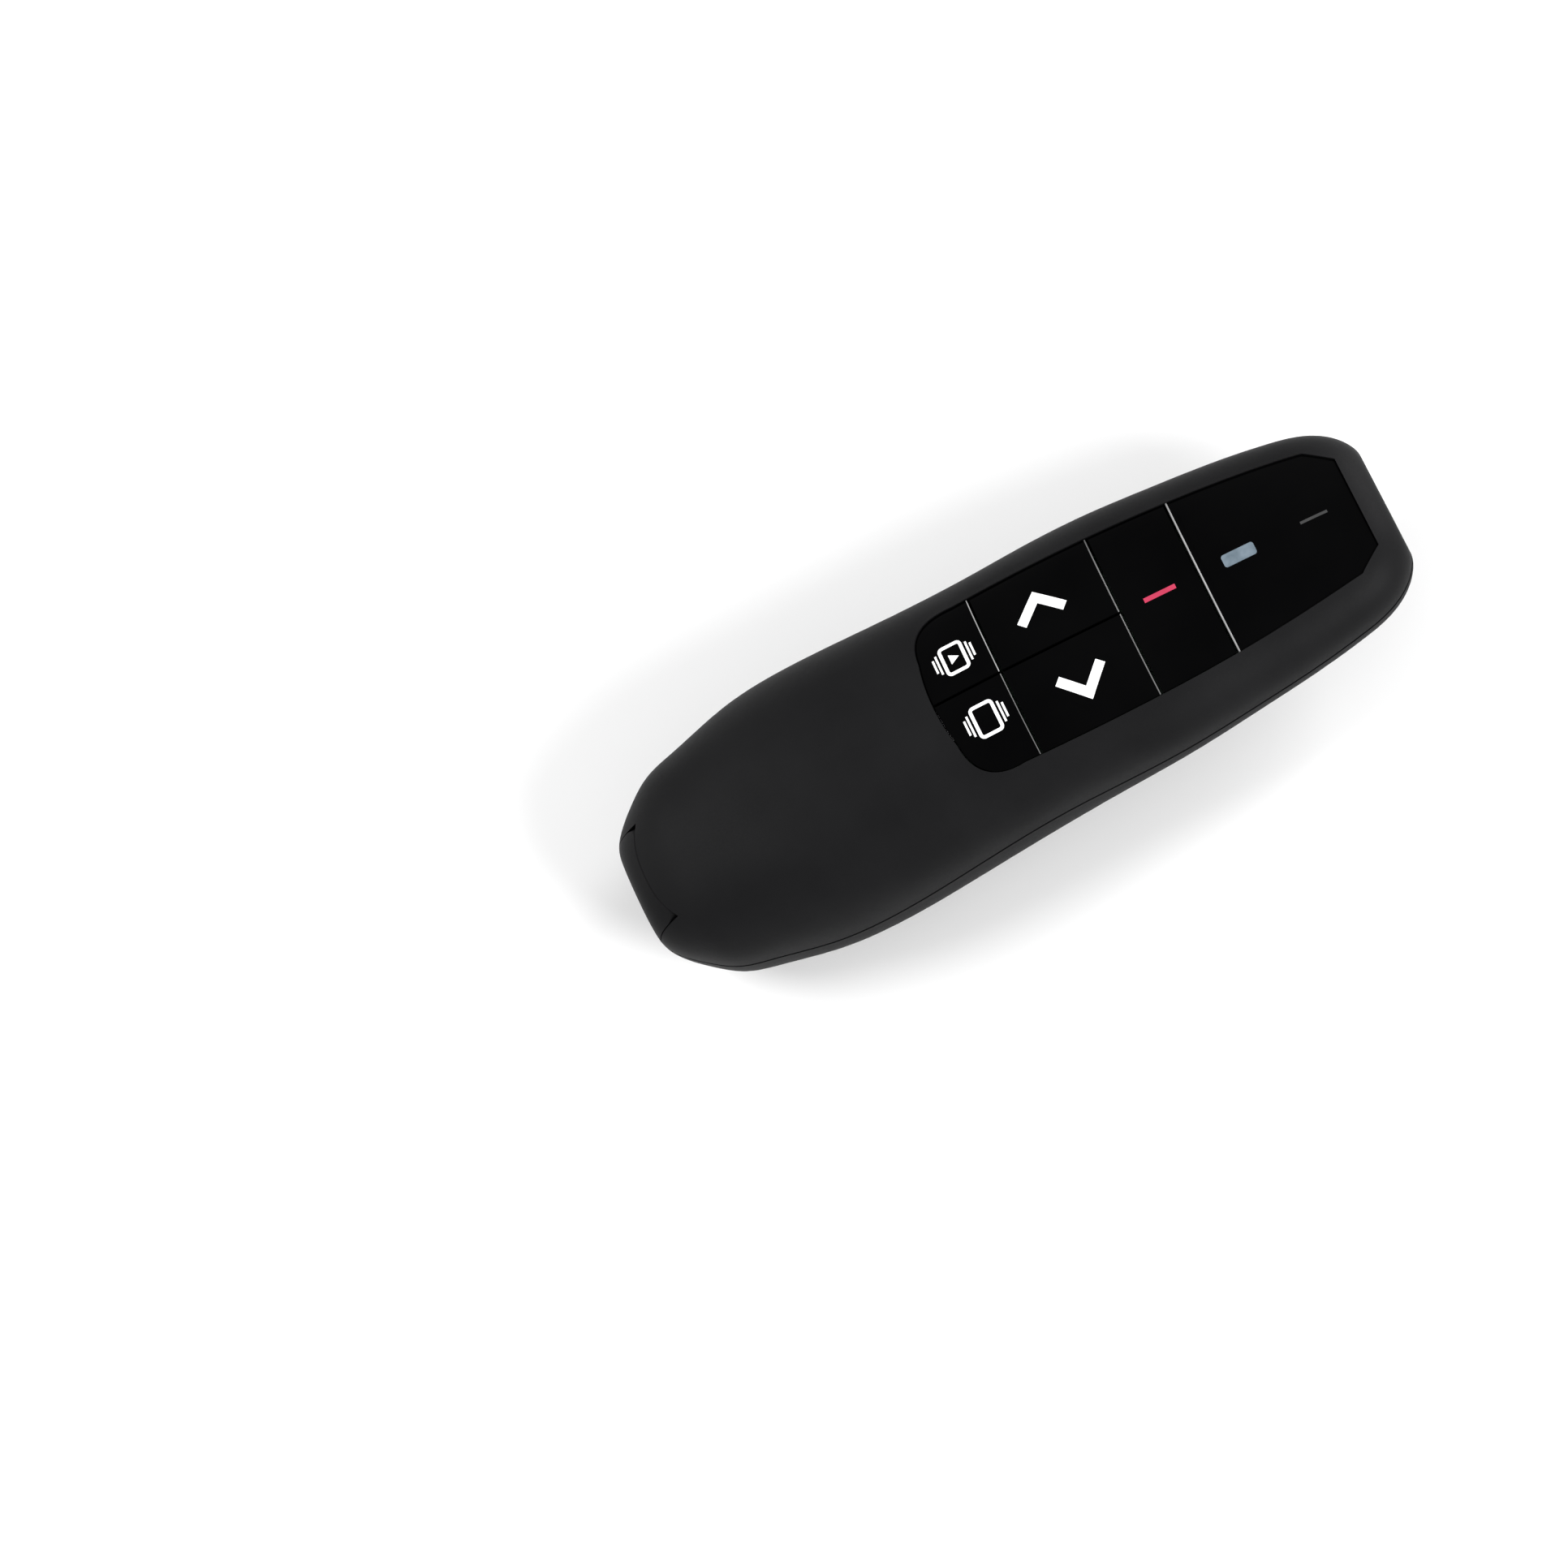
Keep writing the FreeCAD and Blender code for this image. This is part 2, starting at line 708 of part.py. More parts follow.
def screw(name, x, y, seat, length, up):
    """One cross-recessed screw, its head under the seat when it points up."""
    sign = "1" if up else "-1"
    low = "min(%s; %s + %s * (%s))" % (seat, seat, sign, length)
    shank = rod(name + "_shank", "screw_shank_radius", x, y, low, "%s + %s" % (low, length))
    head_low = "%s - screw_head_height" % seat if up else seat
    head = rod(name + "_head", "screw_head_radius", x, y, head_low,
               head_low + " + screw_head_height")
    outside = head_low if up else seat + " + screw_head_height - screw_recess_depth"
    arms = []
    for k, (a, b) in enumerate((("1.1", "screw_recess_width / 2"),
                                ("screw_recess_width / 2", "1.1"))):
        arms.append(box("%s_arm_%d" % (name, k), "%s - %s" % (x, a), "%s + %s" % (x, a),
                        "%s - %s" % (y, b), "%s + %s" % (y, b),
                        outside, outside + " + screw_recess_depth"))
    return cut(name, fuse(name + "_blank", shank, head), *arms)


case_screws = [screw("case_screw_%d" % k, x, y, seat, "screw_length", True)
               for k, (x, y, seat) in enumerate(CASE_SCREWS)]
node(fuse("case_screws", *case_screws), "case_screws")
board_screws = [screw("board_screw_%d" % k, x, y, "board_top", "board_screw_length", False)
                for k, (x, y, foot) in enumerate(BOARD_POSTS)]
node(fuse("board_screws", *board_screws), "board_screws")
columns = []
column_bores = []
cover_bosses = []
for k, (x, y, seat) in enumerate(CASE_SCREWS):
    top = seat + " + seat_thickness"
    columns.append(rod("column_%d" % k, "column_radius", x, y, "0", top))
    column_bores.append(rod("column_bore_%d" % k, "screw_shank_radius + screw_clearance",
                            x, y, seat, "20"))
    column_bores.append(rod("counterbore_%d" % k, "screw_head_radius + counterbore_clearance",
                            x, y, "-5", seat))
    cover_bosses.append(rod("boss_%d" % k, "boss_radius", x, y, top + " + column_gap", "40"))
posts = [rod("post_%d" % k, "post_radius", x, y, foot, "board_bottom")
         for k, (x, y, foot) in enumerate(BOARD_POSTS)]
post_bores = [rod("post_bore_%d" % k, "screw_shank_radius + screw_clearance", x, y,
                  "board_top - board_screw_length - 0.3", "board_bottom")
              for k, (x, y, foot) in enumerate(BOARD_POSTS)]

# Spaces shared by cover and case
receiver_slot = box("receiver_slot", "tail_x - 2", "slot_front_x", "-slot_half_width",
                    "slot_half_width", "bay_roof_top", "slot_top")
lens_hole = rod_along_x("lens_hole", "nose_lens_radius + nose_lens_clearance",
                        "laser_front_x", "nose_x + 2", "0", "laser_z")
lens_pocket = rod_along_x("lens_pocket", "nose_lens_flange + nose_lens_clearance",
                          "laser_front_x - 1", "nose_wall_x + 0.02", "0", "laser_z")
nose_cuts = fuse("nose_cuts", lens_hole, lens_pocket)

# Cover
upper_skin = cut("upper_skin", cut("upper_form", outer, below), inner)
window_recess = cut("window_recess", common("window_well", panel_hole, window_zone), seat_form)
floor_blank = common("floor_blank", panel_block("floor_block", 1.2), window_zone,
                     seat_form, outer)
window_bed = cut("window_bed", floor_blank, floor_form)
light_hole = box("light_hole", "light_x - light_length / 2 - screw_clearance",
                 "light_x + light_length / 2 + screw_clearance",
                 "-light_width / 2 - screw_clearance", "light_width / 2 + screw_clearance",
                 "board_top", "60")
boss_blank = common("boss_blank", fuse("bosses", *cover_bosses), seat_form)
boss_holes = [rod("boss_hole_%d" % k, "screw_shank_radius + screw_clearance", x, y,
                  seat, seat + " + screw_length + 0.4")
              for k, (x, y, seat) in enumerate(CASE_SCREWS)]
cover_skin = cut("cover_skin", upper_skin, common("key_opening", panel_hole, keys_zone))
cover_blank = fuse("cover_blank", cover_skin, window_bed, boss_blank)
node(cut("top_cover", cover_blank, window_recess, light_hole, receiver_slot, nose_cuts,
         *boss_holes), "top_cover")

# Case, with the battery bay, the receiver tube and the laser saddles
bay_block = box("bay_block", "bay_rear_x - bay_wall", "bay_front_x + bay_wall",
                "-bay_half_width - bay_wall", "bay_half_width + bay_wall", "0",
                "bay_roof_top")
bay_space = box("bay_space", "bay_rear_x", "bay_front_x", "-bay_half_width",
                "bay_half_width", "-5", "bay_ceiling")
tube_block = box("tube_block", "tail_x", "slot_front_x + slot_wall",
                 "-slot_half_width - slot_wall", "slot_half_width + slot_wall",
                 "bay_ceiling", "slot_top + slot_wall")
saddle_rear = box("saddle_rear", "laser_rear_x + 1", "laser_rear_x + 2.5", "-laser_radius - 1",
                  "laser_radius + 1", "5", "laser_z")
saddle_front = box("saddle_front", "laser_front_x - 4", "laser_front_x - 2.5",
                   "-laser_radius - 1", "laser_radius + 1", "5", "laser_z")
laser_space = rod_along_x("laser_space", "laser_radius + screw_clearance",
                          "laser_rear_x - 1", "laser_front_x + 1", "0", "laser_z")
ribs = fuse("ribs", bay_block, tube_block, saddle_rear, saddle_front, *(columns + posts))
low_ribs = common("low_ribs", ribs, mid, below)
high_ribs = common("high_ribs", ribs, lining)
case_rim = outer.Shape.common(below_groove.Shape).fuse(mid.Shape.common(below.Shape))
case_skin = shaped("case_skin", case_rim.cut(inner.Shape))
door_zone = box("door_zone", "tail_x - 5", "door_front_x + door_gap",
                "-door_half_width - door_gap", "door_half_width + door_gap", "-5",
                "door_height + door_gap")
rail_zone = box("rail_zone", "tail_x - 5", "door_front_x - 3 + door_gap",
                "-door_half_width - door_rail_reach - door_gap",
                "door_half_width + door_rail_reach + door_gap",
                "door_rail_bottom - door_gap",
                "door_rail_bottom + door_rail_height + door_gap")
power_slot = box("power_slot", "power_slot_x - power_slot_half",
                 "power_slot_x + power_slot_half", "power_flange_y", "40",
                 "power_height - power_knob_height / 2 - power_gap",
                 "power_height + power_knob_height / 2 + power_gap")
TABS = (("positive", "cell_y"), ("negative", "-cell_y"))
tab_slots = [box("tab_slot_" + sign, "bay_front_x - contact_thickness - 0.1", "bay_front_x",
                 y + " - 1.1", y + " + 1.1", "bay_ceiling - 1", "bay_roof_top + 1")
             for sign, y in TABS]
case_blank = fuse("case_blank", case_skin, low_ribs, high_ribs)
case_body = cut("case_body", case_blank, bay_space, receiver_slot, laser_space, door_zone,
                rail_zone, power_slot, nose_cuts, *(column_bores + post_bores + tab_slots))
node(common("bottom_case", case_body, table), "bottom_case")

# Battery door
door_span = box("door_span", "tail_x - 5", "door_front_x", "-door_half_width",
                "door_half_width", "0", "door_height")
door_rails = box("door_rails", "bay_rear_x + 2", "door_front_x - 3",
                 "-door_half_width - door_rail_reach", "door_half_width + door_rail_reach",
                 "door_rail_bottom", "door_rail_bottom + door_rail_height")
rail_middle = box("rail_middle", "bay_rear_x - 5", "door_front_x", "-door_half_width + 0.6",
                  "door_half_width - 0.6", "-5", "8")
door_blank = fuse("door_blank", common("door_shell", case_skin, door_span),
                  cut("door_rail_pair", door_rails, rail_middle))
door_grips = []
for k in range(int(value("door_grip_count"))):
    start = "door_front_x - 6 - %d * door_grip_pitch" % k
    door_grips.append(box("door_grip_%d" % k, start + " - door_grip_width", start,
                          "-door_grip_length / 2", "door_grip_length / 2", "-5",
                          "door_grip_depth"))
cell_troughs = [rod_along_x("cell_trough_%d" % k, "cell_radius + cell_clearance",
                            "bay_rear_x", "door_front_x + 1", y, "cell_centre_height")
                for k, y in enumerate(("cell_y", "-cell_y"))]
node(cut("battery_door", door_blank, *(door_grips + cell_troughs)), "battery_door")

# Circuit board
board = new_body("circuit_board")
board_outline = new_sketch(board, "board_outline", "XY_Plane", "board_bottom")
ends = (("board_rear_x", "1"), ("board_front_x", "-1"))
corners = []
for x, way in ends:
    for y, first in (("-", way == "-1"), ("", way == "1")):
        a = (x + " + %s * board_corner" % way, y + "board_half_width")
        b = (x, "%sboard_half_width %s board_corner" % (y, "+" if y else "-"))
        corners.append((a, b))
order = [corners[0][0], corners[2][0], corners[2][1], corners[3][1],
         corners[3][0], corners[1][0], corners[1][1], corners[0][1]]
draw_outline(board_outline, order)
for x, y, foot in BOARD_POSTS:
    draw_circle(board_outline, x, y, "screw_shank_radius + screw_clearance")
pad(board, board_outline, "board_thickness")

# Parts on the board
chip_pins = []
for k in range(7):
    at_x = "nose_x - chip_from_nose + %g" % (1.27 * (k - 3))
    chip_pins.append(box("chip_pin_%d" % k, at_x + " - 0.2", at_x + " + 0.2",
                         "-chip_width / 2 - 0.9", "chip_width / 2 + 0.9", "board_top",
                         "board_top + 0.5"))
chip_body = box("chip_body", "nose_x - chip_from_nose - chip_length / 2",
                "nose_x - chip_from_nose + chip_length / 2", "-chip_width / 2",
                "chip_width / 2", "board_top + 0.1", "board_top + chip_height")
node(fuse("main_chip", chip_body, *chip_pins), "main_chip")
node(box("crystal", "board_rear_x + 1", "board_rear_x + 1 + crystal_width",
         "-crystal_length / 2", "crystal_length / 2", "board_top",
         "board_top + crystal_height"), "crystal")
small_parts = [box("small_part_%d" % k, "nose_x - %g" % back, "nose_x - %g + 1.6" % back,
                   "%g" % y, "%g + 0.8" % y, "board_top", "board_top + 0.7")
               for k, (back, y) in enumerate(((38.0, 4.6), (38.0, -5.4), (55.0, 0.6),
                                              (55.0, -1.4), (26.0, 7.0), (26.0, -7.8)))]
node(fuse("board_passives", *small_parts), "board_passives")

# Keys, each over its own push switch
KEYS = [
    ("laser_key", "laser_key_x", "0", "laser_end_x", "window_end_x", "-40", "40"),
    ("back_key", "arrow_key_x", "arrow_key_y", "arrows_end_x", "laser_end_x", "key_gap", "40"),
    ("next_key", "arrow_key_x", "-arrow_key_y", "arrows_end_x", "laser_end_x", "-40",
     "-key_gap"),
    ("slideshow_key", "rear_key_x", "rear_key_y", "panel_end_x - 5", "arrows_end_x",
     "key_gap", "40"),
    ("blank_key", "rear_key_x", "-rear_key_y", "panel_end_x - 5", "arrows_end_x", "-40",
     "-key_gap"),
]
cap_block = panel_block("cap_block", -value("key_gap"))
flange_block = panel_block("flange_block", value("key_flange_reach"))
cap_slice = cut("cap_slice", common("cap_top", cap_block, face_form), cap_form)
rim_slice = cut("rim_slice", common("rim_top", flange_block, flange_top_form), flange_low_form)
neck_slice = cut("neck_slice", common("neck_top", panel_block("neck_block", -0.8), face_form),
                 flange_low_form)
key_slices = fuse("key_slices", cap_slice, rim_slice, neck_slice)
for name, x, y, x_low, x_high, y_low, y_high in KEYS:
    span = zone(name + "_span", x_low + " + key_gap", x_high + " - key_gap", y_low, y_high)
    if y_low == "-40":
        span.setExpression("Placement.Base.y", "-40")
    stem = rod(name + "_stem", "key_stem_radius", x, y, "plunger_top", "plunger_top + 3")
    key_body = fuse(name, common(name + "_slice", key_slices, span), stem)
    node(key_body, name)
    base = box(name + "_switch_block", x + " - tact_side / 2", x + " + tact_side / 2",
               y + " - tact_side / 2", y + " + tact_side / 2", "board_top",
               "board_top + tact_body_height")
    bore = rod(name + "_switch_bore", "tact_plunger_radius + tact_bore_clearance", x, y,
               "board_top + tact_cavity_floor", "40")
    node(cut(name + "_switch", base, bore), name + "_switch")
    node(rod(name + "_plunger", "tact_plunger_radius", x, y,
             "board_top + tact_cavity_floor + 2 * key_travel", "plunger_top"),
         name + "_plunger")
doc.recompute()

# Laser module, turned parts on the nose axis
barrel = new_body("laser_barrel")
barrel_half = new_sketch(barrel, "barrel_half", "XZ_Plane")
bore_x = "laser_front_x - laser_bore_depth"
draw_outline(barrel_half, [
    ("laser_rear_x", "laser_z"), ("laser_rear_x", "laser_z + laser_radius"),
    ("laser_front_x", "laser_z + laser_radius"), ("laser_front_x", "laser_z + laser_bore_radius"),
    (bore_x, "laser_z + laser_bore_radius"), (bore_x, "laser_z")])
barrel_axis = barrel_half.addGeometry(
    Part.LineSegment(FreeCAD.Vector(0, number("laser_z"), 0),
                     FreeCAD.Vector(number("nose_x"), number("laser_z"), 0)), True)
barrel_half.addConstraint(Sketcher.Constraint("Horizontal", barrel_axis))
pin(barrel_half, "DistanceX", barrel_axis, 1, "laser_rear_x - 5")
pin(barrel_half, "DistanceX", barrel_axis, 2, "laser_rear_x")
pin(barrel_half, "DistanceY", barrel_axis, 1, "laser_z")
revolve(barrel, barrel_half, "Axis0")
node(rod_along_x("laser_lens", "laser_bore_radius", bore_x, bore_x + " + laser_lens_thickness",
                 "0", "laser_z"), "laser_lens")
node(box("laser_driver_board", "laser_rear_x - laser_board_thickness", "laser_rear_x",
         "-laser_board_side / 2", "laser_board_side / 2", "laser_z - laser_board_side / 2",
         "laser_z + laser_board_side / 2"), "laser_driver_board")
leads = [rod_along_x("lead_" + side, "lead_radius", "board_front_x",
                     "laser_rear_x - laser_board_thickness", y, "board_top - lead_radius - 0.2")
         for side, y in (("left", "1.2"), ("right", "-1.2"))]
node(fuse("laser_leads", *leads), "laser_leads")
lens_tube = rod_along_x("lens_tube", "nose_lens_radius", "nose_wall_x - 1", "nose_x + 1", "0",
                        "laser_z")
lens_face = shaped("lens_face", envelope(0.25))
lens_rim = rod_along_x("lens_rim", "nose_lens_flange",
                       "nose_wall_x - nose_lens_flange_thickness", "nose_wall_x", "0", "laser_z")
lens_bore = rod_along_x("lens_bore", "nose_lens_radius - 0.8", "nose_wall_x - 3",
                        "nose_wall_x + 0.6", "0", "laser_z")
lens_whole = fuse("lens_whole", common("lens_front", lens_tube, lens_face), lens_rim)
node(cut("nose_lens", lens_whole, lens_bore), "nose_lens")

# Batteries
for label, y, way in (("cell_left", "cell_y", 1), ("cell_right", "-cell_y", -1)):
    stop = "contact_thickness"
    can = "(cell_length - cell_nub_length)"
    if way > 0:
        base, nub = "bay_front_x - %s - cell_length" % stop, "bay_front_x - %s - 1.5" % stop
    else:
        base = "bay_rear_x + %s + cell_nub_length" % stop
        nub = "bay_rear_x + " + stop
    can_rod = rod_along_x(label + "_can", "cell_radius", base, base + " + " + can, y,
                          "cell_centre_height")
    nub_rod = rod_along_x(label + "_nub", "cell_nub_radius", nub, nub + " + 1.5", y,
                          "cell_centre_height")
    node(fuse(label, can_rod, nub_rod), label)


def coil(name, x, y, way):
    """A conical contact spring standing on its plate."""
    rise = number("spring_length")
    wire_radius = value("spring_wire_radius")
    turns = value("spring_turns")
    points = []
    for k in range(int(turns * 12) + 1):
        t = k / (turns * 12)
        radius = value("spring_foot_radius") * (1 - t) + value("spring_tip_radius") * t
        turn = 2 * math.pi * turns * t
        run = wire_radius * 0.6 + (rise - 1.6 * wire_radius) * t
        points.append(FreeCAD.Vector(number(x) + way * run, number(y) + radius * math.cos(turn),
                                     value("cell_centre_height") + radius * math.sin(turn)))
    path = Part.BSplineCurve()
    path.interpolate(Points=points)
    start, along = path.value(path.FirstParameter), path.tangent(path.FirstParameter)[0]
    ring = Part.Wire([Part.makeCircle(wire_radius, start, along)])
    spring = Part.Wire([path.toShape()]).makePipeShell([ring], True, False)
    return shaped(name, spring)


def plate(name, x_low, y_low, y_high):
    return box(name, x_low, x_low + " + contact_thickness", y_low, y_high,
               "cell_centre_height - contact_half_height",
               "cell_centre_height + contact_half_height")


front_plate_x = "bay_front_x - contact_thickness"
tabs = [box("tab_" + sign, front_plate_x, "bay_front_x", y + " - 1", y + " + 1",
            "cell_centre_height", "board_bottom") for sign, y in TABS]
edge = "bay_half_width - contact_inset"
bridge = plate("bridge_plate", "bay_rear_x", "-(%s)" % edge, edge)
bridge_coil = coil("bridge_coil", "bay_rear_x + contact_thickness", "cell_y", 1)
node(fuse("bridge_contact", bridge, bridge_coil), "bridge_contact")
node(fuse("positive_contact", plate("positive_plate", front_plate_x, "1", edge), tabs[0]),
     "positive_contact")
negative_coil = coil("negative_coil", front_plate_x, "-cell_y", -1)
node(fuse("negative_contact", plate("negative_plate", front_plate_x, "-(%s)" % edge, "-1"),
          negative_coil, tabs[1]), "negative_contact")

# Receiver
shell_block = box("shell_block", "tail_x - 1", "receiver_front_x", "-receiver_width / 2",
                  "receiver_width / 2", "receiver_bottom", "receiver_top")
shell_block.recompute()
shell_round = doc.addObject("Part::Fillet", "shell_round")
shell_round.Base = shell_block
long_edges = [k + 1 for k, e in enumerate(shell_block.Shape.Edges)
              if abs(e.tangentAt(e.FirstParameter).x) > 0.9]
shell_round.Edges = [(k, value("receiver_round"), value("receiver_round")) for k in long_edges]
doc.recompute()
plug_z = "(receiver_bottom + receiver_thickness / 2)"
plug_outside = box("plug_outside", "receiver_front_x - 2", "plug_front_x", "-plug_width / 2",
                   "plug_width / 2", plug_z + " - plug_thickness / 2",
                   plug_z + " + plug_thickness / 2")
plug_inside = box("plug_inside", "receiver_front_x - 1.5", "plug_front_x + 1",
                  "-plug_width / 2 + plug_wall", "plug_width / 2 - plug_wall",
                  plug_z + " - plug_thickness / 2 + plug_wall",
                  plug_z + " + plug_thickness / 2 - plug_wall")
node(cut("receiver_shell", common("shell_shaped", shell_round, outer), plug_outside),
     "receiver_shell")
node(cut("receiver_plug", plug_outside, plug_inside), "receiver_plug")
node(box("receiver_tongue", "receiver_front_x - 1.5", "plug_front_x - 0.5",
         "-plug_width / 2 + 0.6", "plug_width / 2 - 0.6",
         plug_z + " - plug_thickness / 2 + plug_wall", plug_z), "receiver_tongue")

# Power switch
knob_x = ("power_x - power_knob_length / 2", "power_x + power_knob_length / 2")
flange_x = ("power_x - power_knob_length / 2 - power_travel - 0.6",
            "power_x + power_knob_length / 2 + 0.6")
knob = box("power_knob", knob_x[0], knob_x[1], "power_flange_y", "power_knob_reach",
           "power_height - power_knob_height / 2", "power_height + power_knob_height / 2")
flange = box("power_flange", flange_x[0], flange_x[1], "power_flange_y",
             "power_flange_y + power_flange_thickness",
             "power_height - power_flange_height / 2 + 0.3",
             "power_height + power_flange_height / 2 - 0.3")
node(fuse("power_slider", knob, flange), "power_slider")
node(box("power_switch_lever", "power_x - power_lever_width / 2",
         "power_x + power_lever_width / 2", "power_body_front_y - 1.5", "power_flange_y",
         "power_height - power_lever_height / 2", "power_height + power_lever_height / 2"),
     "power_switch_lever")
switch_block = box("switch_block", "power_slot_x - power_body_length / 2",
                   "power_slot_x + power_body_length / 2",
                   "power_body_front_y - power_body_depth", "power_body_front_y",
                   "power_height - 1.5", "board_bottom")
switch_slot = box("switch_slot", "power_slot_x - power_travel / 2 - power_lever_width",
                  "power_slot_x + power_travel / 2 + power_lever_width",
                  "power_body_front_y - 1.8", "power_body_front_y + 1",
                  "power_height - power_lever_height / 2 - 0.1",
                  "power_height + power_lever_height / 2 + 0.1")
node(cut("power_switch_base", switch_block, switch_slot), "power_switch_base")
doc.recompute()

# Checks and files
for thing in doc.Objects:
    if "Invalid" in thing.State or "Error" in thing.State:
        raise RuntimeError(thing.Name + " did not build")
os.makedirs("parts", exist_ok=True)
for piece in nodes:
    if piece.Shape.isNull() or not piece.Shape.isValid() or not piece.Shape.Solids:
        raise RuntimeError(piece.Label + " is not a sound solid")
    piece.Shape.exportStep("parts/%s.step" % piece.Label)
    box_of = piece.Shape.optimalBoundingBox()
    print("%-22s %d solids %8.1f mm3  z %.1f to %.1f" % (
        piece.Label, len(piece.Shape.Solids), piece.Shape.Volume, box_of.ZMin, box_of.ZMax))
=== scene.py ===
import math

import bmesh
import bpy
from mathutils import Matrix, Vector
from mathutils.bvhtree import BVHTree


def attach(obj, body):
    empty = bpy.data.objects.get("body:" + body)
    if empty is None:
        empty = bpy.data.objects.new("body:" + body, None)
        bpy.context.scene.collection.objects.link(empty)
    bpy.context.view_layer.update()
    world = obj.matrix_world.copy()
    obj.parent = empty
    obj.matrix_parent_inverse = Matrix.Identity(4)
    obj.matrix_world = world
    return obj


mm = 0.001
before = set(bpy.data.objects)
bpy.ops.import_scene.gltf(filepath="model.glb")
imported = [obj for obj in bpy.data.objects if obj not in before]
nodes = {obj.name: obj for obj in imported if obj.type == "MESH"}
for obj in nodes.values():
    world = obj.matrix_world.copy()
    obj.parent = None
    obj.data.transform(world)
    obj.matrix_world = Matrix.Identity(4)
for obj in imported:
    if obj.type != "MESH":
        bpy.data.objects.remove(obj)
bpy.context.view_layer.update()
scene = bpy.context.scene
print("frame loaded")


# Materials

mix = {"toneDetail": 4.0, "toneDark": 0.35, "toneLight": 0.65, "grainDetail": 6.0,
       "relief": 0.02}  # relief at full bump, in millimetres


def wire(tree, fromNode, fromName, toNode, toSocket):  # toSocket is a name or a number
    tree.links.new(fromNode.outputs[fromName], toNode.inputs[toSocket])


def makeMaterial(name, look):
    material = bpy.data.materials.new(name)
    material.use_nodes = True
    tree = material.node_tree
    shader = tree.nodes["Principled BSDF"]
    where = tree.nodes.new("ShaderNodeTexCoord")
    tone = tree.nodes.new("ShaderNodeTexNoise")
    tone.inputs["Scale"].default_value = look["toneScale"]
    tone.inputs["Detail"].default_value = mix["toneDetail"]
    wire(tree, where, "Object", tone, "Vector")
    ramp = tree.nodes.new("ShaderNodeValToRGB")
    ramp.color_ramp.elements[0].position = mix["toneDark"]
    ramp.color_ramp.elements[0].color = (*look["dark"], 1.0)
    ramp.color_ramp.elements[1].position = mix["toneLight"]
    ramp.color_ramp.elements[1].color = (*look["light"], 1.0)
    wire(tree, tone, "Fac", ramp, "Fac")
    wire(tree, ramp, "Color", shader, "Base Color")
    grain = tree.nodes.new("ShaderNodeTexNoise")
    grain.inputs["Scale"].default_value = look["grainScale"]
    grain.inputs["Detail"].default_value = mix["grainDetail"]
    wire(tree, where, "Object", grain, "Vector")
    gloss = tree.nodes.new("ShaderNodeMapRange")
    gloss.inputs["To Min"].default_value = look["smooth"]
    gloss.inputs["To Max"].default_value = look["rough"]
    wire(tree, grain, "Fac", gloss, "Value")
    wire(tree, gloss, "Result", shader, "Roughness")
    bump = tree.nodes.new("ShaderNodeBump")
    bump.inputs["Strength"].default_value = look["bump"]
    bump.inputs["Distance"].default_value = mix["relief"] * mm
    wire(tree, grain, "Fac", bump, "Height")
    wire(tree, bump, "Normal", shader, "Normal")
    shader.inputs["Metallic"].default_value = look.get("metal", 0.0)
    shader.inputs["Specular IOR Level"].default_value = look.get("specular", 0.5)
    shader.inputs["Transmission Weight"].default_value = look.get("clear", 0.0)
    # glow is painted light: an emission that makes a part shine by itself.
    if "glow" in look:
        shader.inputs["Emission Color"].default_value = (*look["light"], 1.0)
        shader.inputs["Emission Strength"].default_value = look["glow"]
    return material


